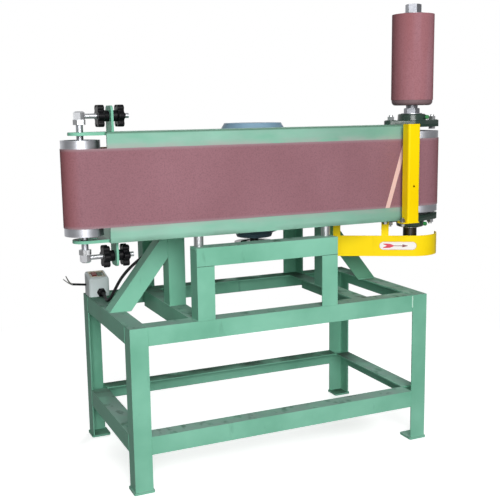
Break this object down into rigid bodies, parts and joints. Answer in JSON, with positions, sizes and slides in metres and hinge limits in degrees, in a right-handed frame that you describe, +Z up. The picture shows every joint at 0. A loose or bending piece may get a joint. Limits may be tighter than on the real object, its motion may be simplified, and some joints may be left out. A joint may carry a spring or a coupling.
{
  "type": "vertical belt sander",
  "caption": "Floor-standing edge belt sander: an upright abrasive belt runs between an idler and a drive drum over a platen, with a sanding drum on the drive shaft, on a welded angle stand.",
  "frame": {"origin": "middle of the machine's outline, without the supply lead, at floor level", "axes": "+X along the abrasive belt towards the drive end, -Y the operator's side in front, +Z up"},
  "size_m": [1.1704, 0.533, 1.313],
  "materials": {
    "green_paint": "gloss pale green enamel",
    "yellow_paint": "gloss yellow enamel",
    "zinc": "zinc plated",
    "bright_steel": "turned bright steel",
    "dark_casting": "dark painted casting",
    "abrasive_cloth": "abrasive grain on cloth",
    "black_rubber": "matt black",
    "black_plastic": "moulded black",
    "cowl_paint": "blue-grey paint",
    "motor_paint": "dark blue-grey paint",
    "switch_plastic": "moulded grey",
    "red_plastic": "moulded red",
    "green_plastic": "moulded green"
  },
  "bodies": {
    "frame": {"abrasive_belt": "abrasive_cloth", "bearing_bolts": "zinc", "bearing_housings": "dark_casting", "belt_guard": "yellow_paint", "bottom_plate": "green_paint", "bridge_posts": "green_paint", "bridge_rail": "green_paint", "bridge_spacers": "zinc", "cable_gland": "black_plastic", "cross_rails": "green_paint", "fan_cowl": "cowl_paint", "foot_plates": "green_paint", "front_posts": "green_paint", "front_rail": "green_paint", "head_ribs": "green_paint", "left_brace": "green_paint", "left_rail": "green_paint", "leg_front_left": "green_paint", "leg_front_right": "green_paint", "leg_rear_left": "green_paint", "leg_rear_right": "green_paint", "long_stretchers": "green_paint", "motor_body": "motor_paint", "motor_lead": "black_rubber", "motor_rails": "green_paint", "platen": "green_paint", "rear_posts": "green_paint", "rear_rail": "green_paint", "rear_web": "green_paint", "right_brace": "green_paint", "right_rail": "green_paint", "short_stretchers": "green_paint", "stop_bar": "yellow_paint", "supply_lead": "black_rubber", "switch_box": "switch_plastic", "tension_brackets": "green_paint", "top_plate": "green_paint", "v_belt": "black_rubber"},
    "drive": {"drive_shaft": "bright_steel", "drive_drum": "bright_steel", "bearing_inserts": "bright_steel", "sanding_drum": "black_rubber", "abrasive_sleeve": "abrasive_cloth", "drum_nuts": "zinc", "driven_pulley": "dark_casting"},
    "carriage": {"idler_shaft": "bright_steel", "shaft_nuts": "zinc", "idler_bearings": "bright_steel", "tension_rods": "zinc"},
    "idler": {"idler_drum": "bright_steel"},
    "rotor": {"motor_shaft": "bright_steel", "motor_pulley": "dark_casting", "motor_fan": "black_plastic"},
    "upper_outer_knob_body": {"upper_outer_knob": "black_plastic"},
    "upper_inner_knob_body": {"upper_inner_knob": "black_plastic"},
    "lower_outer_knob_body": {"lower_outer_knob": "black_plastic"},
    "lower_inner_knob_body": {"lower_inner_knob": "black_plastic"},
    "start": {"start_button": "green_plastic"},
    "stop": {"stop_button": "red_plastic"}
  },
  "joints": [
    {"name": "drive_spin", "type": "hinge", "parent": "frame", "child": "drive", "pos_m": [0.49025, -0.1385, 0.8205], "axis": [0, 0, 1], "continuous": true},
    {"name": "tension_slide", "type": "slide", "parent": "frame", "child": "carriage", "axis": [1, 0, 0], "range_m": [0, 0.02]},
    {"name": "idler_spin", "type": "hinge", "parent": "carriage", "child": "idler", "pos_m": [-0.53375, -0.1685, 0.8205], "axis": [0, 0, 1], "continuous": true},
    {"name": "motor_spin", "type": "hinge", "parent": "frame", "child": "rotor", "pos_m": [0.07125, 0.1075, 0.587], "axis": [0, 0, 1], "continuous": true},
    {"name": "upper_outer_knob_turn", "type": "hinge", "parent": "frame", "child": "upper_outer_knob_body", "pos_m": [-0.45825, -0.1685, 1.001], "axis": [1, 0, 0], "continuous": true},
    {"name": "upper_inner_knob_turn", "type": "hinge", "parent": "frame", "child": "upper_inner_knob_body", "pos_m": [-0.45825, -0.1685, 1.001], "axis": [1, 0, 0], "continuous": true},
    {"name": "lower_outer_knob_turn", "type": "hinge", "parent": "frame", "child": "lower_outer_knob_body", "pos_m": [-0.45825, -0.1685, 0.64], "axis": [1, 0, 0], "continuous": true},
    {"name": "lower_inner_knob_turn", "type": "hinge", "parent": "frame", "child": "lower_inner_knob_body", "pos_m": [-0.45825, -0.1685, 0.64], "axis": [1, 0, 0], "continuous": true},
    {"name": "start_press", "type": "slide", "parent": "frame", "child": "start", "axis": [0, 0.2499, -0.9683], "range_m": [0, 0.003], "stiffness_N_per_m": 400},
    {"name": "stop_press", "type": "slide", "parent": "frame", "child": "stop", "axis": [0, 0.2499, -0.9683], "range_m": [0, 0.003], "stiffness_N_per_m": 400}
  ],
  "couplings": [
    {"joint": "idler_spin", "follows": "drive_spin", "ratio": 1.6},
    {"joint": "motor_spin", "follows": "drive_spin", "ratio": 0.896},
    {"joint": "upper_outer_knob_turn", "follows": "tension_slide", "rad_per_m": 3141.6},
    {"joint": "upper_inner_knob_turn", "follows": "tension_slide", "rad_per_m": 3141.6},
    {"joint": "lower_outer_knob_turn", "follows": "tension_slide", "rad_per_m": 3141.6},
    {"joint": "lower_inner_knob_turn", "follows": "tension_slide", "rad_per_m": 3141.6}
  ]
}
